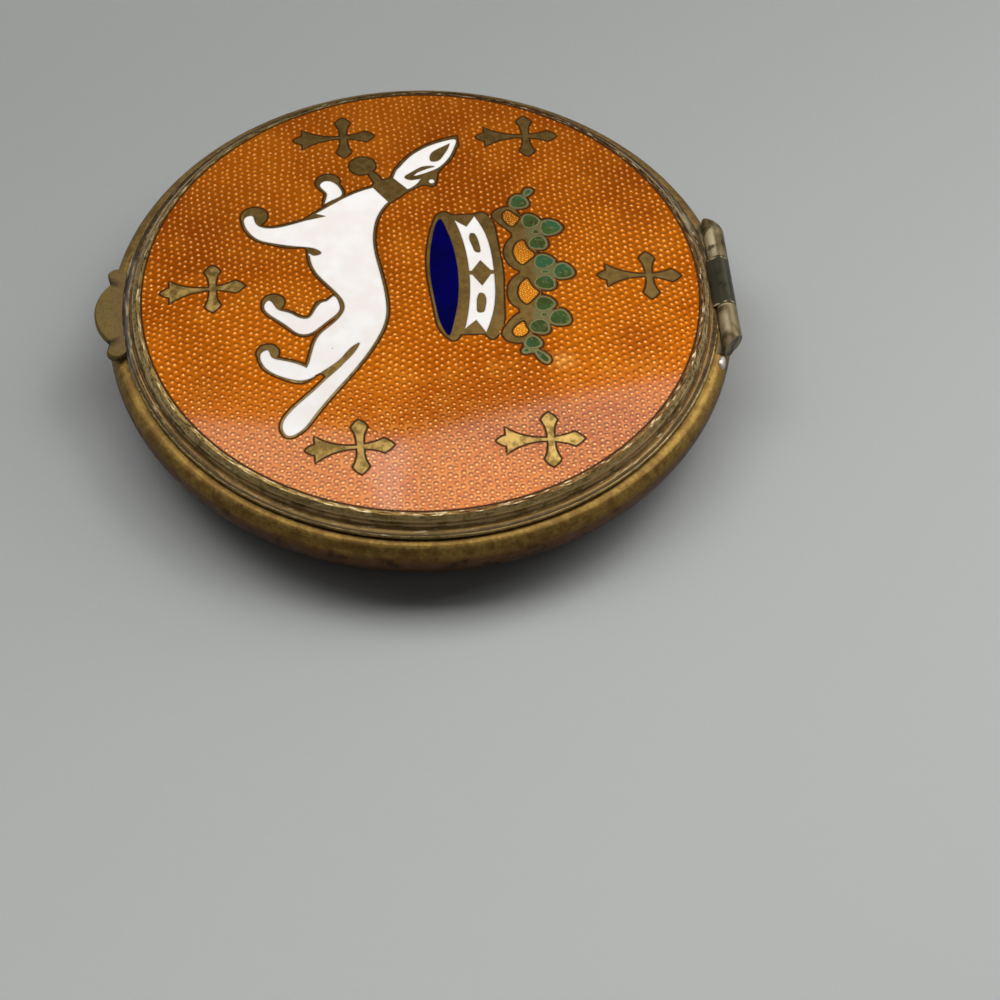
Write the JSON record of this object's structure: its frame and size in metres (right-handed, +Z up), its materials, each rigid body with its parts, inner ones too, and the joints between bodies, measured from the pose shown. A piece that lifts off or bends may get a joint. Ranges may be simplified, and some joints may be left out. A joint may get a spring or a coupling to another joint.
{
  "type": "compact mirror",
  "caption": "Round hinged compact in aged brass: a domed enamelled lid with a mirror inside it closes over a shallow bowl with an empty powder pan; a thumb lip opens it.",
  "frame": {"origin": "centre of the base's flat foot, on the surface that the compact stands on", "axes": "+Z up through the lid, +Y towards the hinge, -Y towards the thumb piece, +X to the right when the design is seen upright"},
  "size_m": [0.054, 0.0551, 0.0094],
  "materials": {
    "plaque_brass": "worn and speckled, with a dark patina",
    "rim_brass": "aged satin, brighter on the worn edges",
    "base_brass": "aged satin with brown tarnish",
    "hinge_brass": "worn satin",
    "thumb_brass": "matte, worn",
    "inner_brass": "satin",
    "pan_brass": "pressed, bright satin",
    "spring_steel": "satin",
    "orange_enamel": "glossy glass over a stippled ground",
    "white_enamel": "glossy, with a few pits",
    "blue_enamel": "glossy",
    "amber_enamel": "glossy glass over a fine stippled ground",
    "green_enamel": "glossy",
    "mirror_glass": "silvered plate glass",
    "backing_card": "plain card"
  },
  "bodies": {
    "base": {"base_bowl": "base_brass", "base_collar": "inner_brass", "base_hinge_knuckle_right": "hinge_brass", "base_hinge_knuckle_left": "hinge_brass", "hinge_pin": "spring_steel", "catch_spring": "spring_steel", "powder_pan": "pan_brass", "pan_clip_ring": "spring_steel"},
    "lid": {"enamel_plaque": "plaque_brass", "orange_field_enamel": "orange_enamel", "white_beast_enamel": "white_enamel", "blue_cap_enamel": "blue_enamel", "white_crown_band_enamel": "white_enamel", "amber_arch_enamel": "amber_enamel", "green_leaf_enamel": "green_enamel", "lid_ring": "rim_brass", "mirror_backing_card": "backing_card", "lid_mirror": "mirror_glass", "mirror_retaining_ring": "inner_brass", "thumb_piece": "thumb_brass", "catch_bead": "inner_brass", "lid_hinge_knuckle": "hinge_brass"}
  },
  "joints": [
    {"name": "lid_hinge", "type": "hinge", "parent": "base", "child": "lid", "pos_m": [0, 0.02625, 0.00695], "axis": [-1, 0, 0], "range_deg": [0, 120]}
  ]
}
